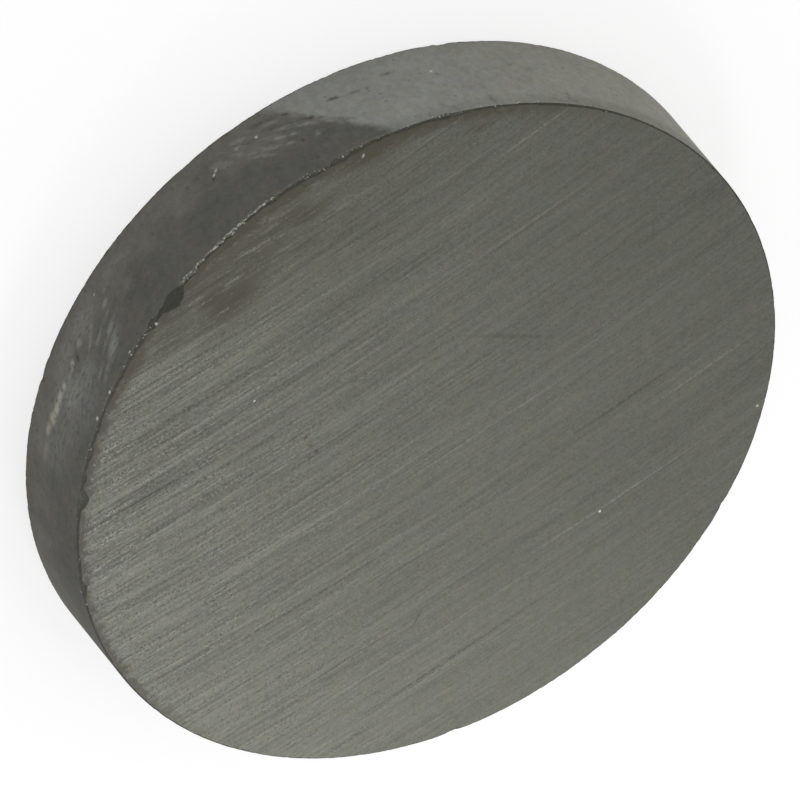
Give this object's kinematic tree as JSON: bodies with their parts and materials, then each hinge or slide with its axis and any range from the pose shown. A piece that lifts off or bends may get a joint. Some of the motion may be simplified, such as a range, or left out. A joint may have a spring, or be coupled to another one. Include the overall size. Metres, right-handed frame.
{
  "type": "disc magnet",
  "caption": "Flat round ferrite disc magnet with ground faces, a plain pressed rim and a chipped arris.",
  "frame": {"origin": "centre of the lower ground face", "axes": "+Z along the disc's axis, which is its direction of magnetisation, out of the upper ground face; +X and +Y lie in the lower face, and the big chip in the upper arris is at a bearing of -73.4 degrees from +X"},
  "size_m": [0.02, 0.02, 0.003],
  "materials": {
    "ferrite": "ground faces, as-sintered rim, matt"
  },
  "bodies": {
    "root": {"ferrite_disc": "ferrite"}
  },
  "joints": []
}
